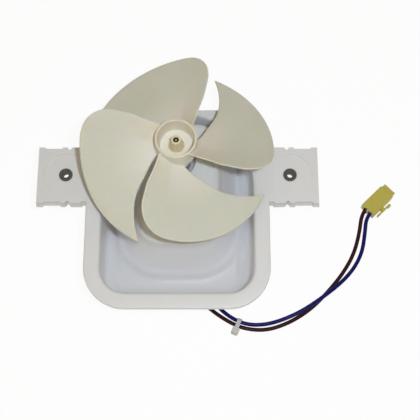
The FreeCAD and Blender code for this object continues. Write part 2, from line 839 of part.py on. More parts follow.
def motor_screw(x):
    """Pan-head screw with a cross recess, pointing to the front."""
    seat_z = stack_rear_z - strap_thickness
    head = cylinder(screw_head_radius, seat_z - screw_head_height, seat_z, x)
    head = head.makeFillet(screw_head_height / 2, edges_at(head, seat_z - screw_head_height))
    screw = head.fuse(cylinder(screw_radius, seat_z, pilot_top_z - slip_gap, x))
    half = recess_width / 2
    reach = screw_head_radius / 2
    low = seat_z - screw_head_height
    screw = screw.cut(block(x - reach, x + reach, -half, half, low, low + recess_depth))
    return screw.cut(block(x - half, x + half, -reach, reach, low, low + recess_depth))


def motor_damper(x):
    z_low = stack_front_z + strap_thickness
    return ring(damper_radius, screw_radius + seat_gap, z_low, z_low + damper_thickness, x)


def lead_end(side):
    """Last corner and tip of a lead: it enters the connector at half a pitch to one side."""
    along = polar(1.0, connector_angle, 0)
    across = polar(1.0, connector_angle + 90, 0)
    tip = V(*entry_place) + across * (side * lead_pitch / 2) + along * lead_entry
    return [tip - along * lead_straight, tip]


def lead_path(route, side):
    """Straight runs joined by tangent arcs, as large as the runs allow."""
    points = [V(*p) for p in route] + lead_end(side)
    edges = []
    radii = []
    here = points[0]
    for before, corner, after in zip(points, points[1:], points[2:]):
        arriving = (corner - before).normalize()
        leaving = (after - corner).normalize()
        turn = arriving.getAngle(leaving)
        shorter = min((corner - before).Length, (after - corner).Length)
        trim = arc_share * shorter
        radius = trim / math.tan(turn / 2)
        radii.append(radius)
        start = corner - arriving * trim
        finish = corner + leaving * trim
        inward = (leaving - arriving).normalize()
        middle = corner + inward * (radius / math.cos(turn / 2) - radius)
        edges.append(line(here, start))
        edges.append(arc_through(start, middle, finish))
        here = finish
    edges.append(line(here, points[-1]))
    return Part.Wire(edges), radii


def lead(name, route, side):
    path, radii = lead_path(route, side)
    start, direction = lead_start(route)
    section = Part.Wire(Part.makeCircle(lead_radius, start, direction))
    tube = path.makePipeShell([section], True, True)
    expected = math.pi * lead_radius ** 2 * path.Length
    print(name, "length", round(path.Length, 1), "smallest radius", round(min(radii), 1),
          "volume over section times length", round(tube.Volume / expected, 4))
    print(name, "radii", [round(r, 1) for r in radii])
    return tube


def cable_tie():
    """Nylon band round both leads, with its head and cut tail on the outer side."""
    sides = []
    for route in (blue_route, brown_route):
        sides.append((V(*route[5]) + V(*route[6])) * 0.5)
    along = (V(*blue_route[6]) - V(*blue_route[5])).normalize()
    half_gap = (sides[0] - sides[1]).Length / 2
    centre = (sides[0] + sides[1]) * 0.5
    inner = lead_radius + seat_gap
    outer = inner + tie_band
    half = tie_width / 2
    loops = []
    for radius in (outer, inner):
        loop = block(-half, half, -half_gap, half_gap, -radius, radius)
        for sign in (1, -1):
            end = Part.makeCylinder(radius, tie_width, V(-half, sign * half_gap, 0), V(1, 0, 0))
            loop = loop.fuse(end)
        loops.append(loop)
    length_x, length_y, length_z = tie_head
    head_y = -(half_gap + inner)
    head = block(-length_x / 2, length_x / 2, head_y - length_y, head_y, -length_z / 2,
                 length_z / 2)
    far_edges = [e for e in head.Edges if e.BoundBox.YMax < head_y - length_y + 1e-4]
    head = head.makeChamfer(tie_head_chamfer, far_edges)
    tie = loops[0].fuse(head).cut(loops[1])
    angle = math.degrees(math.atan2(along.y, along.x))
    tie.rotate(V(0, 0, 0), UP, angle)
    tie.translate(centre)
    return tie.removeSplitter()


def in_connector(shape):
    """Move a piece drawn along +X from the entry face to the connector's place."""
    placed = shape.copy()
    placed.rotate(V(0, 0, 0), UP, connector_angle)
    placed.translate(V(*entry_place))
    return placed


def connector_housing():
    """Two-way free socket: stepped front, latch on one side, two terminal chambers."""
    half_y = connector_width / 2
    half_z = connector_height / 2
    length = connector_length
    body = block(0, length - nose_length, -half_y, half_y, -half_z, half_z)
    long_edges = [e for e in body.Edges if e.BoundBox.XLength > nose_length]
    body = body.makeChamfer(connector_chamfer, long_edges)
    nose = block(length - nose_length, length, nose_step - half_y, half_y - nose_step,
                 nose_step - half_z, half_z - nose_step)
    body = body.fuse(nose)
    low = -half_y - latch_rise
    half = latch_width / 2
    end = latch_start + latch_length
    arm = block(latch_start, end, low, low + latch_thickness, -half, half)
    post = block(latch_start + latch_length * 0.4, latch_start + latch_length * 0.6, low, -half_y,
                 -half, half)
    hook = block(end - hook_length, end, low - hook_proud, low + latch_thickness / 2, -half, half)
    body = body.fuse([arm, post, hook])
    for y in (-lead_pitch / 2, lead_pitch / 2):
        mouth = Part.makeCylinder(lead_radius + slip_gap, lead_entry, V(0, y, 0), V(1, 0, 0))
        chamber = block(lead_entry, length - connector_wall, y - crimp_radius - slip_gap,
                        y + crimp_radius + slip_gap, -crimp_radius - slip_gap,
                        crimp_radius + slip_gap)
        window = Part.makeCylinder(window_radius, connector_wall, V(length - connector_wall, y, 0),
                                   V(1, 0, 0))
        body = body.cut(mouth.fuse([chamber, window]))
    for peg in lock_pegs(seat_gap):
        body = body.cut(peg)
    return in_connector(body)


def lock_pegs(gap):
    """The two pegs of the terminal lock, grown by gap on their sides."""
    half_y = lock_thickness / 2 + gap
    pegs = []
    for sign in (1, -1):
        outer = sign * lock_height / 2
        inner = outer - sign * lock_peg
        low, high = sorted((inner, outer))
        pegs.append(block(0, lock_peg_depth, -half_y, half_y, low - gap, high + gap))
    return pegs


def terminal_lock():
    """Small nylon clip between the leads, pushed into the entry face by two pegs."""
    half_y = lock_thickness / 2
    half_z = lock_height / 2
    plate = block(-lock_thickness, 0, -half_y, half_y, -half_z, half_z)
    return in_connector(plate.fuse(lock_pegs(0)).removeSplitter())


def crimp_terminal(side):
    """Tinned socket, a rolled box open at the front, crimped on the end of its lead."""
    y = side * lead_pitch / 2
    start = lead_entry
    box = block(start, start + crimp_length, y - crimp_radius, y + crimp_radius, -crimp_radius,
                crimp_radius)
    half = crimp_radius - crimp_wall
    inside = block(start + crimp_barrel, start + crimp_length, y - half, y + half, -half, half)
    return in_connector(box.cut(inside))


def make_parts():
    parts = {
        "tray_bracket": tray_bracket(),
        "left_grommet": grommet(-ear_hole_x),
        "right_grommet": grommet(ear_hole_x),
        "left_sleeve": sleeve(-ear_hole_x),
        "right_sleeve": sleeve(ear_hole_x),
        "fan_wheel": fan_wheel(),
        "motor_shaft": motor_shaft(),
        "rotor_core": rotor_core(),
        "rotor_cage": rotor_cage(),
        "stator_core": stator_core(),
        "right_shading_ring": shading_ring(1),
        "left_shading_ring": shading_ring(-1),
        "coil_core": coil_core(),
        "coil_bobbin": coil_bobbin(),
        "coil_winding": coil_winding(),
        "coil_tape": coil_tape(),
        "rear_end_cap": rear_end_cap(),
        "left_motor_screw": motor_screw(-screw_x),
        "right_motor_screw": motor_screw(screw_x),
        "left_damper": motor_damper(-screw_x),
        "right_damper": motor_damper(screw_x),
        "blue_lead": lead("blue_lead", blue_route, -1),
        "brown_lead": lead("brown_lead", brown_route, 1),
        "cable_tie": cable_tie(),
        "connector_housing": connector_housing(),
        "blue_crimp_terminal": crimp_terminal(-1),
        "brown_crimp_terminal": crimp_terminal(1),
        "terminal_lock": terminal_lock(),
    }
    for side, front in (("front", True), ("rear", False)):
        parts[side + "_bearing_bracket"] = bearing_bracket(front)
        parts[side + "_bearing"] = bearing(front)
        parts[side + "_felt_ring"] = felt_ring(front)
        parts[side + "_bearing_retainer"] = bearing_retainer(front)
        parts[side + "_thrust_washer"] = thrust_washer(front)
        parts[side + "_rotor_spacer"] = rotor_spacer(front)
    return parts


os.makedirs("parts", exist_ok=True)
for name, shape in sorted(make_parts().items()):
    if not shape.isValid():
        print("not valid:", name)
    print(name, len(shape.Solids), "solids", round(shape.Volume, 1), "mm3")
    shape.exportStep("parts/" + name + ".step")
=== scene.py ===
import bmesh
import bpy
import json
import numpy as np
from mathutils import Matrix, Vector

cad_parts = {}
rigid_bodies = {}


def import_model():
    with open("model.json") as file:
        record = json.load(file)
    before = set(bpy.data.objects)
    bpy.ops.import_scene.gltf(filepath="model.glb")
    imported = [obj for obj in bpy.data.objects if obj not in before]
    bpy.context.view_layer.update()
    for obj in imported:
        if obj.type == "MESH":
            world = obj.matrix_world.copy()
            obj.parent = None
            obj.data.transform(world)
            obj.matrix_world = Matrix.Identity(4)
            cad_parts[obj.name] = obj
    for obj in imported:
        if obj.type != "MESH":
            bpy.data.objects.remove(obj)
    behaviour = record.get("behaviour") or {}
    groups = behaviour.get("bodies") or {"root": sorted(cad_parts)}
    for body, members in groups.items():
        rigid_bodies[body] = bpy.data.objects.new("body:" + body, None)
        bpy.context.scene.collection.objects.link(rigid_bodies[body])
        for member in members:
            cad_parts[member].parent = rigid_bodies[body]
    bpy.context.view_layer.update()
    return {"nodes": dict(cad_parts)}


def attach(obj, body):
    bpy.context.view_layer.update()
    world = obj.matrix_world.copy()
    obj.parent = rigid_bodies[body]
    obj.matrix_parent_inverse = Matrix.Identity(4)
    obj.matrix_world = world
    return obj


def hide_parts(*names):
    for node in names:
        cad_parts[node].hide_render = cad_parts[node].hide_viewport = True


for leftover in list(bpy.data.objects):
    bpy.data.objects.remove(leftover)
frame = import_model()


# The tray. One moulding in white ABS: a flat rim round a deep basin, and in the middle of
# the basin a hollow cover, open at the rear, that the motor is screwed up into. Mould draft
# opens every wall towards the front, and every edge that a hand meets is rounded.

MM = 0.001  # sizes are in millimetres, and heights are over the surface below
merge_distance = 0.002 * MM
tray_half_width, tray_low, tray_flat_top, tray_corner = 54.0, -88.5, 34.0, 24.5
arc_y = -12.8
rim_width, rim_z, rim_under, rim_round = 9.5, 34.5, 32.1, 0.8
basin_wall, basin_draft = 2.0, 1.4
lip_round, inner_fillet, under_fillet = 2.0, 8.0, 6.5
floor_z, floor_under = 7.5, 5.5
cover_half, cover_low, cover_high, cover_corner = 23.0, -49.0, 24.0, 13.0
cover_flare, cover_flare_high = 14.0, 4.5
cover_top, cover_wall, cover_fillet = 38.0, 1.8, 3.5
cover_foot_reach, cover_foot_rise = 4.6, 8.0
shaft_opening, opening_round = 10.5, 0.4


def arc(centre_x, centre_y, radius, start, stop, count):
    """Points centre + radius (cos a, sin a), a from start to stop in degrees, stop left out."""
    angle = np.radians(np.linspace(start, stop, count, endpoint=False))
    return np.column_stack([centre_x + radius * np.cos(angle), centre_y + radius * np.sin(angle)])


def straight(first, last, count):
    """Points first + s (last - first), s from 0 to 1, last left out."""
    return np.linspace(first, last, count, endpoint=False)


def rounded_outline(half, low, high, corner_low, corner_high):
    """Closed outline of a rectangle with two corner radii, anticlockwise from the lower left.
    Each stretch has the same number of points in every outline, so any two can be joined."""
    low_points, low_arc, side_points, high_arc, high_points = 14, 24, 20, 36, 12
    x_low, x_high = half - corner_low, half - corner_high
    y_low, y_high = low + corner_low, high - corner_high
    return np.concatenate([
        straight((-x_low, low), (x_low, low), low_points),
        arc(x_low, y_low, corner_low, -90, 0, low_arc),
        straight((half, y_low), (half, y_high), side_points),
        arc(x_high, y_high, corner_high, 0, 90, high_arc),
        straight((x_high, high), (-x_high, high), high_points),
        arc(-x_high, y_high, corner_high, 90, 180, high_arc),
        straight((-half, y_high), (-half, y_low), side_points),
        arc(-x_low, y_low, corner_low, 180, 270, low_arc),
    ])


def rim_outline(inset):
    """The rim's edge: sides and a half circle about the basin's arc, cut flat at the top."""
    half = tray_half_width - inset
    outline = rounded_outline(half, tray_low + inset, arc_y + half, tray_corner - inset, half)
    outline[:, 1] = np.minimum(outline[:, 1], tray_flat_top - inset)
    return outline


def basin_outline(inset):
    """The basin's mouth moved in by inset: a half circle above straight sides."""
    half = tray_half_width - rim_width - inset
    low = tray_low + rim_width + inset
    return rounded_outline(half, low, arc_y + half, tray_corner - rim_width - inset, half)


def cover_outline(z, inset):
    """The motor cover's wall at height z, moved in by inset. It widens towards its foot."""
    share = (cover_top - z) / (cover_top - floor_z)
    flare = cover_flare * share
    return rounded_outline(
        cover_half + flare - inset,
        cover_low - flare + inset,
        cover_high + cover_flare_high * share - inset,
        cover_corner + flare - inset,
        cover_corner + flare / 2 - inset,
    )


def opening_outline(radius):
    """A circle about the fan axis with the same points as the other outlines."""
    return rounded_outline(radius, -radius, radius, radius, radius)


def at_height(outline, z):
    """The points of an outline, all at height z."""
    return np.column_stack([outline, np.full(len(outline), z)])


def quarter(radius, count=7):
    """A quarter round as (inset, rise): radius (1 - cos a) and radius sin a, a from 0 to 90."""
    angle = np.radians(np.linspace(0, 90, count))
    return radius * (1 - np.cos(angle)), radius * np.sin(angle)


def wall_inset(z):
    """How far the drafted basin wall stands inside its mouth at height z."""
    return basin_draft * (rim_z - z) / (rim_z - floor_z)


def add_object(name, data):
    """A new object in the scene, made of the given data."""
    made = bpy.data.objects.new(name, data)
    bpy.context.scene.collection.objects.link(made)
    return made


def shell(name, rings, closed=True, sharp=40):
    """Surface through closed rings of points, given in millimetres as (ring, point, xyz).
    Each ring joins the next point by point. If closed, the last ring joins the first, and
    otherwise each end ring gets a flat cap. Doubles are merged and the faces point outwards."""
    points = np.asarray(rings, float) * MM
    index = np.arange(points.shape[0] * points.shape[1]).reshape(points.shape[:2])
    near = index if closed else index[:-1]
    far = np.roll(index, -1, axis=0) if closed else index[1:]
    quads = np.stack([near, np.roll(near, -1, 1), np.roll(far, -1, 1), far], -1)
    faces = quads.reshape(-1, 4).tolist()
    if not closed:
        faces += [index[0, ::-1].tolist(), index[-1].tolist()]
    mesh = bpy.data.meshes.new(name)
    mesh.from_pydata(points.reshape(-1, 3).tolist(), [], faces)
    cleaned = bmesh.new()
    cleaned.from_mesh(mesh)
    bmesh.ops.remove_doubles(cleaned, verts=cleaned.verts, dist=merge_distance)
    bmesh.ops.recalc_face_normals(cleaned, faces=cleaned.faces)
    cleaned.to_mesh(mesh)
    cleaned.free()
    mesh.polygons.foreach_set("use_smooth", np.ones(len(mesh.polygons), bool))
    mesh.set_sharp_from_angle(angle=np.radians(sharp))
    return add_object(name, mesh)


def tray_rings():
    """Section of the tray as one closed loop of rings: over the rim, down the basin wall,
    across the floor, up the cover and into its opening, then back along the rear side. In
    each rounding i is how far a ring lies in and u how far up."""
    ceiling = cover_top - cover_fillet
    edge_in, edge_up = quarter(rim_round)
    lip_in, lip_up = quarter(lip_round)
    foot_in, foot_up = quarter(inner_fillet, 9)
    top_in, top_up = quarter(cover_fillet, 9)
    hollow_in, hollow_up = quarter(cover_fillet - cover_wall)
    under_in, under_up = quarter(under_fillet, 9)
    wall_z = np.linspace(rim_z - lip_round, floor_z + inner_fillet, 7)
    share = np.linspace(0, 1, 9)
    sweep_z = floor_z + cover_foot_rise * share ** 2
    sweep_reach = cover_foot_reach * (1 - share) ** 2
    cover_z = np.linspace(floor_z + cover_foot_rise, ceiling, 8)
    hollow_z = np.linspace(ceiling, floor_under, 7)
    outer_z = np.linspace(floor_under + under_fillet, rim_under, 5)
    rings = [at_height(rim_outline(0), rim_under)]
    rings += [at_height(rim_outline(i), rim_z - rim_round + u) for i, u in zip(edge_in, edge_up)]
    rings += [at_height(basin_outline(u - lip_round), rim_z - i) for i, u in zip(lip_in, lip_up)]
    rings += [at_height(basin_outline(wall_inset(z)), z) for z in wall_z[1:]]
    rings += [
        at_height(basin_outline(basin_draft + i), floor_z + inner_fillet - u)
        for i, u in zip(foot_in[1:], foot_up[1:])
    ]
    rings += [at_height(cover_outline(z, -reach), z) for z, reach in zip(sweep_z, sweep_reach)]
    rings += [at_height(cover_outline(z, 0), z) for z in cover_z[1:]]
    rings += [
        at_height(cover_outline(ceiling + u, i), ceiling + u)
        for i, u in zip(top_in[1:], top_up[1:])
    ]
    rings += [
        at_height(opening_outline(shaft_opening + opening_round), cover_top),
        at_height(opening_outline(shaft_opening + opening_round / 4), cover_top - opening_round / 4),
        at_height(opening_outline(shaft_opening), cover_top - opening_round),
        at_height(opening_outline(shaft_opening), cover_top - cover_wall),
    ]
    rings += [
        at_height(cover_outline(ceiling + u, cover_wall + i), ceiling + u)
        for i, u in zip(hollow_in[::-1], hollow_up[::-1])
    ]
    rings += [at_height(cover_outline(z, cover_wall), z) for z in hollow_z[1:]]
    rings += [
        at_height(basin_outline(basin_draft - basin_wall + i), floor_under + under_fillet - u)
        for i, u in zip(under_in[::-1], under_up[::-1])
    ]
    rings += [at_height(basin_outline(wall_inset(z) - basin_wall), z) for z in outer_z[1:]]
    return rings


tray_shell = shell("tray_shell", tray_rings())


def shader_group(name, inputs, outputs):
    """An empty shader node group, the sockets that it is given and those that it puts out.
    Each input is (name, kind, default) and each output (name, kind)."""
    group = bpy.data.node_groups.new(name, "ShaderNodeTree")
    for label, kind, value in inputs:
        group.interface.new_socket(label, in_out="INPUT", socket_type=kind).default_value = value
    for label, kind in outputs:
        group.interface.new_socket(label, in_out="OUTPUT", socket_type=kind)
    given, result = group.nodes.new("NodeGroupInput"), group.nodes.new("NodeGroupOutput")
    return group, given.outputs, result.inputs


def fill_sockets(tree, node, values):
    """Give each named or numbered input of a node its value or its link."""
    for key, value in values.items():
        if isinstance(value, bpy.types.NodeSocket):
            tree.links.new(value, node.inputs[key])
        else:
            node.inputs[key].default_value = value


def add_node(tree, kind, settings=None, **values):
    """A node with its settings, and a value or a link for each input. In the name of an input
    an underscore stands for a space, and _6 means the input with the number 6."""
    made = tree.nodes.new(kind)
    for key, value in (settings or {}).items():
        setattr(made, key, value)
    fill_sockets(tree, made, {
        int(key[1:]) if key[0] == "_" else key.replace("_", " "): value
        for key, value in values.items()
    })
    return made


def object_place(tree):
    """The place on the piece, from its Object coordinates, in metres."""
    return add_node(tree, "ShaderNodeTexCoord").outputs["Object"]


def arithmetic(tree, operation, first, second=0.0):
    """The result of one operation on two numbers."""
    return add_node(tree, "ShaderNodeMath", {"operation": operation}, _0=first, _1=second).outputs[0]


def noise(tree, place, scale, detail, roughness=0.5):
    """Noise between 0 and 1, its scale in waves per metre."""
    return add_node(tree, "ShaderNodeTexNoise", Vector=place, Scale=scale, Detail=detail,
                    Roughness=roughness).outputs[0]


def remapped(tree, value, low, high, to_low=0.0, to_high=1.0, curve="LINEAR"):
    """A value moved from the range low to high to another range, and held inside that."""
    return add_node(tree, "ShaderNodeMapRange", {"interpolation_type": curve}, Value=value,
                    From_Min=low, From_Max=high, To_Min=to_low, To_Max=to_high).outputs[0]


def mixed_color(tree, share, first, second, blend="MIX"):
    """The first colour mixed with the second by share."""
    return add_node(tree, "ShaderNodeMix", {"data_type": "RGBA", "blend_type": blend},
                    _0=share, _6=first, _7=second).outputs[2]


def distance_from_axis(tree, place):
    """How far a place lies from the fan axis."""
    flat = add_node(tree, "ShaderNodeVectorMath", {"operation": "MULTIPLY"}, _0=place, _1=(1, 1, 0))
    return add_node(tree, "ShaderNodeVectorMath", {"operation": "LENGTH"},
                    _0=flat.outputs[0]).outputs["Value"]


def bump_normal(tree, pattern, relief):
    """The normal of a surface that rises by the pattern times the relief in millimetres."""
    metres = arithmetic(tree, "MULTIPLY", arithmetic(tree, "MULTIPLY", pattern, relief), MM)
    return add_node(tree, "ShaderNodeBump", Strength=1.0, Distance=1.0, Height=metres).outputs[0]


def finish_group(name, extra):
    """A group for a finish. It takes two colours, the inputs in extra and a roughness, and puts
    out a colour, a roughness and a normal."""
    return shader_group(
        name,
        [("Base", "NodeSocketColor", (0.8, 0.8, 0.8, 1)),
         ("Tint", "NodeSocketColor", (0.7, 0.7, 0.7, 1)),
         ("Roughness", "NodeSocketFloat", 0.4)] + extra,
        [("Color", "NodeSocketColor"), ("Roughness", "NodeSocketFloat"),
         ("Normal", "NodeSocketVector")],
    )


def mould_finish_group():
    """Moulded plastic. Wide noise drifts the colour from Base to Tint by Drift and the gloss
    about Roughness. Fine noise with grains of Grain millimetres gives the mould's texture."""
    group, given, result = finish_group("mould_finish", [
        ("Drift", "NodeSocketFloat", 0.5), ("Grain", "NodeSocketFloat", 0.4),
        ("Relief", "NodeSocketFloat", 0.02),
    ])
    place = object_place(group)
    wide = noise(group, place, scale=38.0, detail=3.0)
    drift = remapped(group, wide, 0.3, 0.7, 0.0, given["Drift"])
    grains = arithmetic(group, "DIVIDE", 1 / MM, given["Grain"])
    fine = noise(group, place, scale=grains, detail=4.0, roughness=0.6)
    spread = remapped(group, wide, 0.3, 0.7, -0.05, 0.06)
    group.links.new(mixed_color(group, drift, given["Base"], given["Tint"]), result["Color"])
    group.links.new(arithmetic(group, "ADD", spread, given["Roughness"]), result["Roughness"])
    group.links.new(bump_normal(group, fine, given["Relief"]), result["Normal"])
    return group


def new_material(name, **sockets):
    """A Principled material, with its constants set on the shader's own sockets."""
    material = bpy.data.materials.new(name)
    material.use_nodes = True
    shader = material.node_tree.nodes["Principled BSDF"]
    for key, value in sockets.items():
        shader.inputs[key.replace("_", " ")].default_value = value
    return material, material.node_tree, shader


def place_group(tree, group, **values):
    """The outputs of a node group placed in a material, with a value for each named input."""
    placed = tree.nodes.new("ShaderNodeGroup")
    placed.node_tree = group
    fill_sockets(tree, placed, values)
    return placed.outputs


def connect_finish(tree, shader, group, **values):
    """Lead the colour, the roughness and the normal of a finish to a material's shader."""
    finish = place_group(tree, group, **values)
    tree.links.new(finish["Color"], shader.inputs["Base Color"])
    tree.links.new(finish["Roughness"], shader.inputs["Roughness"])
    tree.links.new(finish["Normal"], shader.inputs["Normal"])


mould_finish = mould_finish_group()


def moulded(name, base, tint, drift, grain, relief, roughness, **sockets):
    """A plastic or rubber material from the mould finish."""
    material, tree, shader = new_material(name, **sockets)
    connect_finish(tree, shader, mould_finish, Base=(*base, 1), Tint=(*tint, 1), Drift=drift,
                   Grain=grain, Relief=relief, Roughness=roughness)
    return material


def dress(piece, material, slot, body, *nodes):
    """Give a new piece its material, put it on its body and hide what it replaces. The slot is not
    used.
    """
    piece.data.materials.clear()
    piece.data.materials.append(material)
    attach(piece, body)
    if nodes:
        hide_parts(*nodes)


def tray_plastic():
    """White ABS with light and shade painted in by height: painted light makes the steep walls of the
    basin and the cover paler than the rim, and painted shade makes the basin's floor greyest. The
    colour runs with the share of the rim's height."""
    material, tree, shader = new_material(
        "white_abs", Subsurface_Weight=0.2, Subsurface_Radius=(1.0, 0.9, 0.8),
        Subsurface_Scale=0.002, Specular_IOR_Level=0.45)
    height = add_node(tree, "ShaderNodeSeparateXYZ", Vector=object_place(tree)).outputs["Z"]
    painted_shading = add_node(tree, "ShaderNodeValToRGB", Fac=arithmetic(tree, "DIVIDE", height, rim_z * MM))
    ramp = painted_shading.color_ramp
    ramp.interpolation = "EASE"
    # Painted shade greys the basin's floor, and painted light makes the walls paler than the rim.
    shaded_floor_stop, rim_stop = ramp.elements
    shaded_floor_stop.position, shaded_floor_stop.color = 0.235, (0.64, 0.64, 0.655, 1)
    rim_stop.position, rim_stop.color = 0.98, (0.715, 0.715, 0.722, 1)
    for position in (0.36, 0.85):
        ramp.elements.new(position).color = (0.805, 0.807, 0.835, 1)
    base = painted_shading.outputs["Color"]
    tint = mixed_color(tree, 1.0, base, (0.97, 0.97, 0.98, 1), "MULTIPLY")
    connect_finish(tree, shader, mould_finish, Base=base, Tint=tint, Drift=0.6, Grain=0.35,
                   Relief=0.006, Roughness=0.4)
    return material


white_abs = tray_plastic()
dress(tray_shell, white_abs, "white_plastic", "tray", "tray_bracket")


# The ears. Shallow boxes of the same moulding on both sides of the rim, open at the rear,
# with ribs to a boss round the fixing hole. Three pads stand proud on each long edge, a
# notch is cut between two of them, and a round dish is sunk in the face about the hole.

ear_hole_x, ear_y, ear_half_height = 66.5, -8.0, 16.6
ear_inner_x, ear_outer_x, ear_back = 46.5, 83.2, 28.5
ear_face = rim_z + 0.01
ear_wall, ear_draft, ear_rib = 1.8, 0.7, 1.4
pad_proud, pads = 0.9, ((57.0, 63.7), (66.3, 69.3), (79.0, 83.2))
notch_x, notch_half = 65.0, 0.8
dish_radius, dish_depth, dish_start_x, dish_lip = 13.0, 0.5, 57.0, 1.012
hole_radius, boss_radius, boss_under = 3.42, 6.6, 30.5
rib_start, rib_end, rib_gap, pocket_gap = 0.9 * boss_radius, 0.5, 0.2, 0.1
rib_low, rib_high = ear_back + 0.05, rim_under + 0.2
soft_edge, edge_step = 0.3, 0.9


def ear_edge():
    """Lower long edge of the right ear as (x, distance out from the centre line). Two pad
    sides lean a little, along a ray from the hole, so that no ray meets the edge twice."""
    base = ear_half_height
    proud = base + pad_proud
    (a, b), (c, d), (e, f) = pads
    leaning_b = ear_hole_x + (b - ear_hole_x) * base / proud
    leaning_e = ear_hole_x + (e - ear_hole_x) * proud / base
    return np.array([
        (ear_inner_x, base), (a, base), (a, proud), (b, proud), (leaning_b, base),
        (notch_x - notch_half, base), (notch_x, base - notch_half), (notch_x + notch_half, base),
        (c, base), (c, proud), (d, proud), (d, base), (e, base), (leaning_e, proud), (f, proud),
    ])


def resampled(corners, step):
    """A closed outline with each side divided evenly into lengths of about step."""
    following = np.roll(corners, -1, axis=0)
    counts = np.maximum(1, np.linalg.norm(following - corners, axis=1) / step).astype(int)
    return np.concatenate([straight(p, q, n) for p, q, n in zip(corners, following, counts)])


def ear_rings(side):
    """The ear as rings about its hole, from the hole out over the dish to the edge, down the
    wall and back through the pocket. A round or straight-sided ring is a distance along the
    directions of the outer edge's points, which never turn back at the pads."""
    edge = ear_edge() - (ear_hole_x, 0)
    corners = np.concatenate([edge * (1, -1), edge[::-1]])
    outer = resampled(corners, edge_step)
    angle = np.maximum.accumulate(np.unwrap(np.arctan2(outer[:, 1], outer[:, 0])))
    cosine, sine = np.cos(angle), np.sin(angle)
    chord = (ear_hole_x - dish_start_x) / np.maximum(-cosine, 1e-6)  # far off if never met
    dish = np.minimum(dish_radius, chord)
    pocket = 1 / np.max([
        cosine / (ear_outer_x - ear_wall - ear_hole_x),
        -cosine / (ear_hole_x - ear_inner_x - pocket_gap),
        np.abs(sine) / (ear_half_height - ear_wall),
    ], axis=0)
    splay = 1 + ear_draft / ear_half_height
    ray = np.column_stack([cosine, sine])
    sections = [
        (hole_radius * ray, rim_z - dish_depth), (dish[:, None] * ray, rim_z - dish_depth),
        (dish[:, None] * ray * dish_lip, ear_face), (outer, ear_face), (outer * splay, ear_back),
        (pocket[:, None] * ray * splay, ear_back), (pocket[:, None] * ray, rim_under),
        (boss_radius * ray, rim_under), (boss_radius * ray, boss_under),
        (hole_radius * ray, boss_under),
    ]
    return [at_height(points * (side, 1) + (side * ear_hole_x, ear_y), z) for points, z in sections]


def rounded_edges(piece, width, angle=50):
    """Round a piece's edges with a Bevel modifier, its width in millimetres."""
    bevel = piece.modifiers.new("rounded_edges", "BEVEL")
    bevel.width = width * MM
    bevel.segments = 2
    bevel.limit_method = "ANGLE"
    bevel.angle_limit = np.radians(angle)
    bevel.harden_normals = True
    return piece


def slab(name, x_range, y_range, z_range, radius=0.3):
    """A block with rounded upright edges: one rounded outline at its two heights."""
    (x0, x1), (y0, y1), (z0, z1) = x_range, y_range, z_range
    half = (x1 - x0) / 2
    outline = rounded_outline(half, y0, y1, radius, radius) + ((x0 + x1) / 2, 0)
    return shell(name, [at_height(outline, z0), at_height(outline, z1)], closed=False)


for side, label in ((-1, "left"), (1, "right")):
    ear = rounded_edges(shell(label + "_ear", ear_rings(side), sharp=30), soft_edge)
    dress(ear, white_abs, "white_plastic", "tray", "tray_bracket")
    centre = side * ear_hole_x
    reaches = (
        ("outer", sorted((centre + side * rib_start, side * (ear_outer_x - rib_end))), None),
        ("inner", sorted((centre - side * rib_start, side * (ear_inner_x + rib_gap))), None),
        ("low", None, (ear_y - ear_half_height + rib_end, ear_y - rib_start)),
        ("high", None, (ear_y + rib_start, ear_y + ear_half_height - rib_end)),
    )
    for where, x_range, y_range in reaches:
        x_range = x_range or (centre - ear_rib / 2, centre + ear_rib / 2)
        y_range = y_range or (ear_y - ear_rib / 2, ear_y + ear_rib / 2)
        rib = slab(f"{label}_ear_rib_{where}", x_range, y_range, (rib_low, rib_high))
        dress(rib, white_abs, "white_plastic", "tray", "tray_bracket")


# Feet and screw bosses. Four short ribs under the basin hold it off the surface behind, and
# two round bosses under the cover take the motor's screws. All are of the tray's moulding.

foot_half_length, foot_half_width, foot_corner, foot_top = 5.0, 1.5, 0.8, floor_under + 1.5
foot_places = ((41.0, -3.0, True), (-41.0, -3.0, True), (31.0, -72.0, False), (-31.0, -72.0, False))
boss_x, screw_boss_radius, pilot_radius = 18.6, 4.0, 1.97
boss_foot, boss_root = 31.2, cover_top - cover_wall + 0.5

for number, (x, y, upright) in enumerate(foot_places, 1):
    along = (foot_half_width, foot_half_length) if upright else (foot_half_length, foot_half_width)
    foot = slab(f"foot_{number}", (x - along[0], x + along[0]), (y - along[1], y + along[1]),
                (0.0, foot_top), radius=foot_corner)
    dress(rounded_edges(foot, soft_edge), white_abs, "white_plastic", "tray", "tray_bracket")


def softened(profile, radius, steps=4):
    """Closed profile with each corner replaced by a curve: for s from 0 to 1 its points are
    (1-s)^2 before + 2 s (1-s) corner + s^2 after, where before and after lie radius away, but
    no further than the longest share of a side."""
    longest = 0.45
    corners = np.asarray(profile, float)
    before, after = np.roll(corners, 1, axis=0) - corners, np.roll(corners, -1, axis=0) - corners
    reach_before = np.linalg.norm(before, axis=1, keepdims=True)
    reach_after = np.linalg.norm(after, axis=1, keepdims=True)
    start = corners + before / reach_before * np.minimum(radius, longest * reach_before)
    finish = corners + after / reach_after * np.minimum(radius, longest * reach_after)
    s = np.linspace(0, 1, steps + 1)[:, None, None]
    curve = (1 - s) ** 2 * start + 2 * s * (1 - s) * corners + s ** 2 * finish
    return curve.transpose(1, 0, 2).reshape(-1, 2)


def turned(name, profile, centre=(0.0, 0.0), count=72):
    """Surface of revolution: each (radius, height) of a closed profile makes a circle."""
    rings = [at_height(arc(*centre, r, 0, 360, count), z) for r, z in profile]
    return shell(name, rings)


for side, label in ((-1, "left"), (1, "right")):
    section = [(pilot_radius, boss_foot), (screw_boss_radius, boss_foot),
               (screw_boss_radius, boss_root), (pilot_radius, boss_root)]
    boss = turned(label + "_screw_boss", softened(section, radius=0.25), (side * boss_x, 0.0),
                  count=48)
    dress(boss, white_abs, "white_plastic", "tray", "tray_bracket")


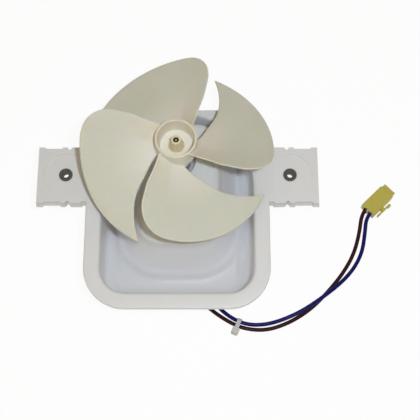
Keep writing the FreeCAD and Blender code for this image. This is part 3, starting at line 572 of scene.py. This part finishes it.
# Ear fixings. A dark rubber ring is snapped into each ear's hole with a flange on both
# faces, and a blackened steel tube through it takes the clamping load of the fixing screw.

sleeve_bore, sleeve_outer, flange_radius, neck_radius = 1.8, 2.5, 4.0, 3.4
fixing_top, fixing_foot, press_gap = 34.9, 29.6, 0.02


def metal_finish_group():
    """Worked metal. Fine noise stretched by Stretch marks the surface and its gloss, and slow
    noise drifts the colour from Base to Tint."""
    group, given, result = finish_group("metal_finish", [
        ("Stretch", "NodeSocketVector", (1.0, 1.0, 1.0)), ("Relief", "NodeSocketFloat", 0.01),
    ])
    place = object_place(group)
    drawn = add_node(group, "ShaderNodeVectorMath", {"operation": "MULTIPLY"}, _0=place,
                     _1=given["Stretch"])
    marks = noise(group, drawn.outputs[0], scale=2200.0, detail=5.0, roughness=0.7)
    drift = remapped(group, noise(group, place, scale=180.0, detail=4.0), 0.35, 0.65)
    spread = remapped(group, marks, 0.3, 0.7, -0.06, 0.08)
    group.links.new(mixed_color(group, drift, given["Base"], given["Tint"]), result["Color"])
    group.links.new(arithmetic(group, "ADD", spread, given["Roughness"]), result["Roughness"])
    group.links.new(bump_normal(group, marks, given["Relief"]), result["Normal"])
    return group


metal_finish = metal_finish_group()


def worked_metal(name, base, tint, stretch, relief, roughness):
    """A metal material from the metal finish."""
    material, tree, shader = new_material(name, Metallic=1.0)
    connect_finish(tree, shader, metal_finish, Base=(*base, 1), Tint=(*tint, 1),
                   Stretch=stretch, Relief=relief, Roughness=roughness)
    return material


dark_rubber = moulded("dark_rubber", (0.045, 0.042, 0.036), (0.075, 0.07, 0.06),
                      drift=0.8, grain=0.25, relief=0.02, roughness=0.62)
plated_steel = worked_metal("plated_steel", (0.42, 0.39, 0.34), (0.33, 0.31, 0.27),
                            stretch=(1, 1, 0.2), relief=0.01, roughness=0.36)
blackened_steel = worked_metal("blackened_steel", (0.09, 0.085, 0.07), (0.06, 0.056, 0.048),
                               stretch=(1, 1, 0.2), relief=0.01, roughness=0.5)

for side, label in ((-1, "left"), (1, "right")):
    centre = (side * ear_hole_x, ear_y)
    ring_section = [
        (sleeve_outer + press_gap, fixing_foot), (flange_radius, fixing_foot),
        (flange_radius, boss_under), (neck_radius, boss_under), (neck_radius, rim_z - dish_depth),
        (flange_radius, rim_z - dish_depth), (flange_radius, fixing_top),
        (sleeve_outer + press_gap, fixing_top),
    ]
    grommet = turned(label + "_grommet_ring", softened(ring_section, radius=0.35, steps=5),
                     centre, count=64)
    dress(grommet, dark_rubber, "dark_rubber", "tray", label + "_grommet")
    tube_section = [(sleeve_bore, fixing_foot), (sleeve_outer, fixing_foot),
                    (sleeve_outer, fixing_top), (sleeve_bore, fixing_top)]
    tube = turned(label + "_sleeve_tube", softened(tube_section, radius=0.15), centre, count=64)
    dress(tube, blackened_steel, "plated_steel", "tray", label + "_sleeve")


# The fan wheel. One moulding in unpigmented, slightly see-through ivory plastic: a hollow
# hub, open at the front, with a tapered boss pressed on the shaft, and four swept blades.

fan_radius, hub_radius, hub_wall = 55.5, 11.8, 1.3
wheel_back, wheel_front, cup_floor, back_floor = 57.0, 72.0, 61.0, 59.0
boss_foot_radius, boss_tip_radius, boss_tip, shaft_radius = 4.3, 2.8, 70.0, 1.6
blade_count, blade_thickness, blade_datum = 4, 1.6, 55.5
blade_rise, blade_cone, blade_twist_root, blade_twist, blade_camber = 6.0, -3.0, 3.0, 27.5, 13.0

# A blade's two edges, each as angles in degrees at shares of the fan's radius: the hollow
# edge that ends in the pointed horn, and the full edge of the rounded lobe.
horn_share = np.array([0.201, 0.40, 0.60, 0.82, 1.0])
horn_angle = np.array([21.0, 38.3, 46.6, 57.6, 67.0])
lobe_share = np.array([1.0, 0.98, 0.915, 0.80, 0.55, 0.30, 0.201])
lobe_angle = np.array([-4.0, -12.0, -18.5, -24.2, -31.0, -40.5, -50.0])
edge_round, root_fillet, end_margin = 0.9, 1.5, 0.3
fillet_end, body_start, body_end = 14.0, 14.6, 53.6

inner, cup_taper, bore = hub_radius - hub_wall, 1.0, shaft_radius + press_gap
hub_section = [
    (bore, wheel_back), (boss_foot_radius, wheel_back), (boss_foot_radius, back_floor),
    (inner, back_floor), (inner, wheel_back), (hub_radius, wheel_back), (hub_radius, wheel_front),
    (inner, wheel_front), (inner - cup_taper, cup_floor), (boss_foot_radius, cup_floor),
    (boss_tip_radius, boss_tip), (bore, boss_tip),
]
hub = turned("wheel_hub", softened(hub_section, radius=0.6, steps=6), count=120)


def smooth_through(x, xs, ys):
    """Cubic through the points (xs, ys). Its slope at each is a mean of those on both sides."""
    slope = np.gradient(ys, xs)
    i = np.clip(np.searchsorted(xs, x) - 1, 0, len(xs) - 2)
    width = xs[i + 1] - xs[i]
    s = (x - xs[i]) / width
    near = (2 * s ** 3 - 3 * s ** 2 + 1) * ys[i] + (s ** 3 - 2 * s ** 2 + s) * width * slope[i]
    far = (3 * s ** 2 - 2 * s ** 3) * ys[i + 1] + (s ** 3 - s ** 2) * width * slope[i + 1]
    return near + far


def blade_height(radius, angle):
    """Front face: datum + rise + cone u - (root twist + twist u) a + camber u a^2, where u is
    the share of the fan's radius and a the angle in radians."""
    u = radius / fan_radius
    pitch = (blade_twist_root + blade_twist * u) * angle
    return blade_datum + blade_rise + blade_cone * u - pitch + blade_camber * u * angle ** 2


def full_round(distance):
    """1 inside, falling to 0 at the edge along a quarter circle of radius edge_round."""
    return np.sqrt(1 - (1 - np.clip(distance / edge_round, 0, 1)) ** 2)


def blade_rings(turn):
    """A blade as rings round its section at each radius: along the front face from the lobe
    edge to the horn edge and back along the rear, the thickness closing at every edge."""
    near_tip = fan_radius - np.array([1.3, 0.95, 0.65, 0.42, 0.24, 0.12, 0.04, 0.0])
    root = hub_radius - hub_wall / 2
    radius = np.concatenate([[root], np.linspace(root + 0.05, fillet_end, 9),
                             np.linspace(body_start, body_end, 54), near_tip])
    share = radius / fan_radius
    depth = np.sqrt(np.maximum(1 - share, 0))
    low = np.radians(smooth_through(depth, np.sqrt(1 - lobe_share), lobe_angle))
    high = np.radians(smooth_through(share, horn_share, horn_angle))
    length = (high - low) * radius
    margin = np.array([0.0, 0.03, 0.12, 0.28, 0.5, 0.9])
    inside = np.linspace(0, 1, 46)[1:-1]
    start = margin[None, :] / length[:, None]
    middle = start[:, -1:] + inside[None, :] * (1 - 2 * start[:, -1:])
    across = np.concatenate([start, middle, 1 - start[:, ::-1]], axis=1)
    angle = low[:, None] + across * (high - low)[:, None]
    reach = radius[:, None] * np.ones_like(angle)
    along_edge = full_round(across * length[:, None]) * full_round((1 - across) * length[:, None])
    plain = blade_thickness / 2 * along_edge * full_round(fan_radius - reach)
    to_hub = np.clip(1 - (reach - hub_radius) / root_fillet, 0, 1)
    flared = plain + root_fillet * (1 - np.sqrt(1 - to_hub ** 2)) * along_edge
    middle_height = blade_height(reach, angle) - blade_thickness / 2
    highest = np.maximum(wheel_front - end_margin, middle_height + plain)
    lowest = np.minimum(wheel_back + end_margin, middle_height - plain)
    x, y = reach * np.cos(angle + turn), reach * np.sin(angle + turn)
    front = np.stack([x, y, np.minimum(middle_height + flared, highest)], -1)
    rear = np.stack([x, y, np.maximum(middle_height - flared, lowest)], -1)
    return np.concatenate([front, rear[:, -2:0:-1]], axis=1)


# Where the colours change, in metres: height up the cup's wall and distances from the axis.
cup_wall_start, blade_blend, boss_edge = (0.0615, 0.0635), (0.010, 0.040), (0.0044, 0.0052)


def ivory_plastic():
    """Ivory plastic: yellowest on the thick boss, less so on the hub and the floor of its cup,
    and least along the thin blades. The colour runs with the distance from the fan axis, and
    inside the cup with the height."""
    material, tree, shader = new_material(
        "ivory_plastic", Subsurface_Weight=0.6, Subsurface_Radius=(1.0, 0.6, 0.25),
        Subsurface_Scale=0.0012, Specular_IOR_Level=0.25)
    place = object_place(tree)
    height = add_node(tree, "ShaderNodeSeparateXYZ", Vector=place).outputs["Z"]
    span = distance_from_axis(tree, place)
    outward = remapped(tree, span, *blade_blend, curve="SMOOTHSTEP")
    on_wall = remapped(tree, height, *cup_wall_start, curve="SMOOTHSTEP")
    on_boss = remapped(tree, span, *boss_edge, 1.0, 0.0)
    cup = mixed_color(tree, on_wall, (0.79, 0.755, 0.68, 1), (0.74, 0.70, 0.595, 1))
    middle = mixed_color(tree, on_boss, cup, (0.75, 0.68, 0.47, 1))
    base = mixed_color(tree, outward, middle, (0.672, 0.672, 0.59, 1))
    tint = mixed_color(tree, outward, middle, (0.655, 0.648, 0.55, 1))
    connect_finish(tree, shader, mould_finish, Base=base, Tint=tint, Drift=0.8, Grain=0.5,
                   Relief=0.004, Roughness=0.5)
    return material


ivory = ivory_plastic()
dress(hub, ivory, "ivory_plastic", "rotor", "fan_wheel")
for number in range(blade_count):
    turn = np.radians(360 / blade_count * number)
    blade = shell(f"blade_{number + 1}", blade_rings(turn), closed=False, sharp=70)
    dress(blade, ivory, "ivory_plastic", "rotor", "fan_wheel")


# The shaft and the rotor on it: a ground steel shaft, a laminated core with aluminium bars
# and rings cast through it, nylon spacers and thrust washers. All turn with the wheel.

weld_distance = 0.001 * MM
smooth_angle = 35


def keep_node(name, material, edge=0.0):
    """Finish a CAD node: weld its loose triangles, round its edges if asked and shade it
    smooth up to the smooth angle between faces, then give it its material."""
    node = frame["nodes"][name]
    node.data.polygons.foreach_set("use_smooth", np.ones(len(node.data.polygons), bool))
    weld = node.modifiers.new("weld", "WELD")
    weld.merge_threshold = weld_distance
    if edge:
        rounded_edges(node, edge, smooth_angle)
        weighted = node.modifiers.new("flat_faces", "WEIGHTED_NORMAL")
        weighted.keep_sharp = True
    else:
        split = node.modifiers.new("split_edges", "EDGE_SPLIT")
        split.split_angle = np.radians(smooth_angle)
    node.data.materials.clear()
    node.data.materials.append(material)
    return node


def banded_group():
    """Even grooves. The sine of the distance along Direction over Pitch (in millimetres)
    gives their height, and the same wave marks the bottom of each groove."""
    group, given, result = shader_group(
        "banded",
        [("Direction", "NodeSocketVector", (0.0, 0.0, 1.0)), ("Pitch", "NodeSocketFloat", 0.5),
         ("Relief", "NodeSocketFloat", 0.03)],
        [("Groove", "NodeSocketFloat"), ("Normal", "NodeSocketVector")],
    )
    along = add_node(group, "ShaderNodeVectorMath", {"operation": "DOT_PRODUCT"},
                     _0=object_place(group), _1=given["Direction"])
    waves = arithmetic(group, "DIVIDE", along.outputs["Value"], given["Pitch"])
    phase = arithmetic(group, "MULTIPLY", waves, 2 * np.pi / MM)
    crest = remapped(group, arithmetic(group, "SINE", phase), -1.0, 0.6)
    group.links.new(arithmetic(group, "SUBTRACT", 1.0, crest), result["Groove"])
    group.links.new(bump_normal(group, crest, given["Relief"]), result["Normal"])
    return group


banded = banded_group()


def laminated(name, sheet, gap, direction, pitch, relief, roughness, metallic):
    """Stacked sheets or wound turns: light crests and dark grooves, with drifting gloss."""
    shade = [c * 0.8 for c in sheet]
    material, tree, shader = new_material(name, Metallic=metallic)
    bands = place_group(tree, banded, Direction=direction, Pitch=pitch, Relief=relief)
    finish = place_group(tree, metal_finish, Base=(*sheet, 1), Tint=(*shade, 1),
                         Stretch=(1, 1, 1), Relief=0.004, Roughness=roughness)
    color = mixed_color(tree, bands["Groove"], finish["Color"], (*gap, 1))
    tree.links.new(color, shader.inputs["Base Color"])
    tree.links.new(finish["Roughness"], shader.inputs["Roughness"])
    tree.links.new(bands["Normal"], shader.inputs["Normal"])
    return material


spring_steel = worked_metal("spring_steel", (0.5, 0.5, 0.52), (0.36, 0.37, 0.4),
                            stretch=(1, 1, 1), relief=0.006, roughness=0.3)
cast_aluminium = worked_metal("cast_aluminium", (0.58, 0.58, 0.59), (0.46, 0.46, 0.47),
                              stretch=(0.4, 0.4, 0.4), relief=0.05, roughness=0.46)
electrical_steel = laminated("electrical_steel", (0.24, 0.25, 0.28), (0.05, 0.05, 0.06),
                             direction=(0, 0, 1), pitch=0.5, relief=0.05, roughness=0.42, metallic=1.0)
black_nylon = moulded("black_nylon", (0.02, 0.02, 0.02), (0.035, 0.035, 0.035),
                      drift=0.7, grain=0.3, relief=0.01, roughness=0.45)


# Painted shade on the shaft's front end, in metres: from this height up, and outside the turning
# centre.
end_shade_start, unshaded_centre = (0.0684, 0.0686), (0.0003, 0.0005)


def shaft_steel():
    """Ground steel, with painted shade making its front end near black round the turning centre, which
    keeps the steel's colour.
    """
    material = worked_metal("shaft_steel", (0.56, 0.56, 0.55), (0.48, 0.48, 0.47),
                            stretch=(0.3, 0.3, 3), relief=0.006, roughness=0.22)
    tree = material.node_tree
    place = object_place(tree)
    height = add_node(tree, "ShaderNodeSeparateXYZ", Vector=place).outputs["Z"]
    at_front = remapped(tree, height, *end_shade_start)
    off_centre = remapped(tree, distance_from_axis(tree, place), *unshaded_centre)
    painted_end_shade = arithmetic(tree, "MULTIPLY", at_front, off_centre)
    base_color = tree.nodes["Principled BSDF"].inputs["Base Color"]
    bright = base_color.links[0].from_socket
    # Painted shade: the front end goes near black round a small unshaded spot at the centre.
    tree.links.new(mixed_color(tree, painted_end_shade, bright, (0.02, 0.019, 0.018, 1)), base_color)
    return material


keep_node("motor_shaft", shaft_steel())
keep_node("rotor_core", electrical_steel)
keep_node("rotor_cage", cast_aluminium)
for end in ("front", "rear"):
    keep_node(end + "_rotor_spacer", black_nylon)
    keep_node(end + "_thrust_washer", black_nylon)


# The motor, hidden under the cover and open at the rear: a C-shaped stack of varnished
# laminations, copper shading rings through its pole tips, and the coil on its own core.

copper = worked_metal("copper", (0.62, 0.27, 0.13), (0.45, 0.18, 0.09),
                      stretch=(1, 1, 1), relief=0.01, roughness=0.34)
enamelled_wire = laminated("enamelled_wire", (0.55, 0.21, 0.09), (0.10, 0.03, 0.015),
                           direction=(1, 0, 0), pitch=0.22, relief=0.05, roughness=0.35, metallic=0.7)
bobbin_nylon = moulded("bobbin_nylon", (0.66, 0.65, 0.58), (0.6, 0.58, 0.5),
                       drift=0.7, grain=0.3, relief=0.01, roughness=0.42,
                       Subsurface_Weight=0.1, Subsurface_Scale=0.001)
coil_film = moulded("coil_film", (0.52, 0.38, 0.07), (0.45, 0.31, 0.05),
                    drift=0.8, grain=1.2, relief=0.03, roughness=0.28, Coat_Weight=0.3)

keep_node("stator_core", electrical_steel)
keep_node("coil_core", electrical_steel)
keep_node("left_shading_ring", copper)
keep_node("right_shading_ring", copper)
keep_node("coil_bobbin", bobbin_nylon)
keep_node("coil_winding", enamelled_wire)
keep_node("coil_tape", coil_film)


# Bearings. A die-cast strap on each face of the stack carries a self-aligning bronze bush,
# held by a star washer, with an oiled felt round it. A pressed cap closes the rear housing,
# and two screws with rubber washers clamp the whole motor up into the cover.

sintered_bronze = worked_metal("sintered_bronze", (0.45, 0.29, 0.13), (0.33, 0.2, 0.09),
                               stretch=(1, 1, 1), relief=0.04, roughness=0.5)
oiled_felt = moulded("oiled_felt", (0.3, 0.25, 0.17), (0.2, 0.16, 0.1),
                     drift=1.0, grain=0.5, relief=0.15, roughness=0.9, Sheen_Weight=0.3)

for end in ("front", "rear"):
    keep_node(end + "_bearing_bracket", cast_aluminium)
    keep_node(end + "_bearing", sintered_bronze)
    keep_node(end + "_bearing_retainer", spring_steel)
    keep_node(end + "_felt_ring", oiled_felt)
keep_node("rear_end_cap", plated_steel)
for side in ("left", "right"):
    keep_node(side + "_motor_screw", plated_steel)
    keep_node(side + "_damper", dark_rubber)


# The leads. Two thin wires in PVC insulation, blue and brown, held in the bobbin's shelf.
# They leave the motor at the rear, run out under the tray and lie on the surface, the
# brown one passing under the blue, to the socket at their free end.

lead_diameter = 2.4
blue_route = [
    (6.0, -48.3, 12.0), (6.8, -53.8, 6.4), (9.4, -60.4, 2.3), (14.6, -69.6, 1.3),
    (22.6, -79.6, 1.4), (31.5, -87.6, 2.2), (41.5, -91.85, 2.2), (53.0, -91.6, 2.0),
    (64.5, -88.3, 3.6), (77.0, -82.4, 4.8), (95.5, -69.2, 4.8), (106.0, -58.6, 2.4),
    (112.6, -47.0, 1.3), (114.9, -34.8, 1.7),
]
brown_route = [
    (1.0, -48.3, 12.0), (1.5, -53.8, 6.4), (3.8, -60.8, 2.3), (9.0, -71.0, 1.3),
    (18.2, -81.6, 1.4), (30.4, -90.2, 2.2), (40.4, -94.4, 2.2), (53.5, -95.0, 1.4),
    (67.5, -90.0, 1.3), (80.0, -82.0, 1.3), (91.0, -71.0, 1.3), (100.0, -60.2, 1.3),
    (107.2, -48.4, 1.3), (111.4, -35.0, 1.6),
]
entry_place, connector_angle = (116.85, -20.85, 3.75), np.radians(44.0)
lead_pitch, lead_entry, lead_straight = 3.8, 3.0, 6.0


def lead_end(side):
    """Last corner and tip of a lead, half a pitch to one side of the socket's middle line."""
    along = np.array([np.cos(connector_angle), np.sin(connector_angle), 0])
    across = np.array([-along[1], along[0], 0])
    tip = np.array(entry_place) + across * side * lead_pitch / 2 + along * lead_entry
    return [tuple(tip - along * lead_straight), tuple(tip)]


def lead_curve(name, route):
    """A smooth line with the route's points, in millimetres, as its control points."""
    curve = bpy.data.curves.new(name, "CURVE")
    curve.dimensions = "3D"
    curve.bevel_depth = lead_diameter / 2 * MM
    curve.bevel_resolution = 6
    curve.resolution_u = 12
    curve.use_fill_caps = True
    line = curve.splines.new("NURBS")
    line.points.add(len(route) - 1)
    for point, place in zip(line.points, route):
        point.co = (*[c * MM for c in place], 1)
    line.order_u = 3
    line.use_endpoint_u = True
    line.use_smooth = True
    return add_object(name, curve)


blue_pvc = moulded("blue_pvc", (0.006, 0.006, 0.105), (0.009, 0.009, 0.135),
                   drift=0.8, grain=0.6, relief=0.006, roughness=0.34, Specular_IOR_Level=0.08)
brown_pvc = moulded("brown_pvc", (0.027, 0.0055, 0.007), (0.038, 0.008, 0.010),
                    drift=0.8, grain=0.6, relief=0.006, roughness=0.34, Specular_IOR_Level=0.08)
grey_nylon = moulded("grey_nylon", (0.5, 0.5, 0.47), (0.42, 0.42, 0.4),
                     drift=0.8, grain=0.4, relief=0.01, roughness=0.4,
                     Subsurface_Weight=0.1, Subsurface_Scale=0.001)

tie = keep_node("cable_tie", grey_nylon, edge=0.15)


# The socket. A two-way housing in yellow nylon with a latch on one side. The leads enter
# at its rear, and a pale clip between them locks the tinned terminals crimped on their ends.

yellow_nylon = moulded("yellow_nylon", (0.51, 0.44, 0.060), (0.46, 0.39, 0.052),
                       drift=0.7, grain=0.4, relief=0.006, roughness=0.3,
                       Subsurface_Weight=0.1, Subsurface_Scale=0.001)
tinned_brass = worked_metal("tinned_brass", (0.6, 0.56, 0.46), (0.5, 0.46, 0.37),
                            stretch=(1, 1, 1), relief=0.01, roughness=0.3)

socket_pieces = [keep_node("connector_housing", yellow_nylon, edge=0.25),
                 keep_node("terminal_lock", grey_nylon, edge=0.1)]
for name, route, side, length, insulation, slot in (
    ("blue", blue_route, -1, 0.178, blue_pvc, "blue_insulation"),
    ("brown", brown_route, 1, 0.185, brown_pvc, "brown_insulation"),
):
    lead = lead_curve(name + "_insulated_lead", route + lead_end(side))
    dress(lead, insulation, slot, "tray", name + "_lead")
    terminal = keep_node(name + "_crimp_terminal", tinned_brass)


# The stage: a plain pale surface under the part and the camera where the photographer stood,
# 72 degrees above the surface. A small cool lamp beside the lens throws the narrow shadows
# to the lower left. A wide panel at the near left, one above and the warm room fill them.

camera_elevation, camera_distance = np.radians(72.09), 0.500
camera_lens, camera_sensor = 76.4, 36.0
look_at = Vector((0.01903, -0.0367, 0.0555))  # in metres, as all of the stage
floor_half, floor_height, floor_lift = 3.0, -5e-5, 0.94


def white_to_camera(tree):
    """1 for the rays that see the background: from the camera, a gloss or a clear part."""
    path = tree.nodes.new("ShaderNodeLightPath").outputs
    seen = arithmetic(tree, "MAXIMUM", path["Is Camera Ray"], path["Is Glossy Ray"])
    return arithmetic(tree, "MAXIMUM", seen, path["Is Transmission Ray"])


def floor_material():
    """Pale paper: lit and shadowed as a matt surface, and lifted most of the way to white for
    the camera, so that the shadow under the part stays as a pale grey."""
    material = bpy.data.materials.new("pale_surface")
    material.use_nodes = True
    tree = material.node_tree
    tree.nodes.clear()
    fibre = noise(tree, object_place(tree), scale=60.0, detail=4.0)
    paper = mixed_color(tree, fibre, (0.93, 0.93, 0.93, 1), (0.95, 0.95, 0.95, 1))
    matt = add_node(tree, "ShaderNodeBsdfDiffuse", Color=paper)
    white = add_node(tree, "ShaderNodeEmission", Color=(1, 1, 1, 1), Strength=1.0)
    lift = arithmetic(tree, "MULTIPLY", white_to_camera(tree), floor_lift)
    mixed = add_node(tree, "ShaderNodeMixShader", _0=lift, _1=matt.outputs[0], _2=white.outputs[0])
    add_node(tree, "ShaderNodeOutputMaterial", Surface=mixed.outputs[0])
    return material


floor_corners = [
    (x * floor_half, y * floor_half, floor_height)
    for x, y in ((-1, -1), (1, -1), (1, 1), (-1, 1))
]
floor_mesh = bpy.data.meshes.new("floor")
floor_mesh.from_pydata(floor_corners, [], [(0, 1, 2, 3)])
floor_mesh.materials.append(floor_material())
floor = add_object("floor", floor_mesh)

world = bpy.data.worlds.new("room")
bpy.context.scene.world = world
world.use_nodes = True
tree = world.node_tree
tree.nodes.clear()
room = add_node(tree, "ShaderNodeBackground", Color=(1.0, 0.81, 0.50, 1), Strength=0.255)
plain = add_node(tree, "ShaderNodeBackground", Color=(1, 1, 1, 1), Strength=1.0)
backdrop = add_node(tree, "ShaderNodeMixShader", _0=white_to_camera(tree), _1=room.outputs[0],
                    _2=plain.outputs[0])
add_node(tree, "ShaderNodeOutputWorld", Surface=backdrop.outputs[0])

camera_data = bpy.data.cameras.new("camera")
camera_data.sensor_width = camera_sensor
camera_data.lens = camera_lens
camera = add_object("camera", camera_data)
forward = Vector((0, np.cos(camera_elevation), -np.sin(camera_elevation)))
camera.location = look_at - forward * camera_distance
camera.rotation_euler = forward.to_track_quat("-Z", "Y").to_euler()
bpy.context.scene.camera = camera


def panel(name, place, size, power, color):
    """A square lamp at place, turned towards the part: sides in metres, power in watts."""
    lamp = bpy.data.lights.new(name, "AREA")
    lamp.size = size
    lamp.energy = power
    lamp.color = color
    holder = add_object(name, lamp)
    holder.location = place
    holder.rotation_euler = (look_at - Vector(place)).to_track_quat("-Z", "Y").to_euler()


right_of_lens, above_lens = 0.058, 0.026
beside_lens = camera.rotation_euler.to_matrix() @ Vector((right_of_lens, above_lens, 0.0))
panel("lens_lamp", camera.location + beside_lens, size=0.028, power=1.62, color=(0.81, 0.90, 1.0))
panel("near_lamp", (-0.3, -0.4, 0.45), size=0.5, power=0.42, color=(1.0, 0.92, 0.84))
panel("ceiling_lamp", (0.05, 0.1, 0.65), size=0.6, power=0.3, color=(1.0, 0.82, 0.55))
bpy.context.scene.view_settings.view_transform = "Standard"
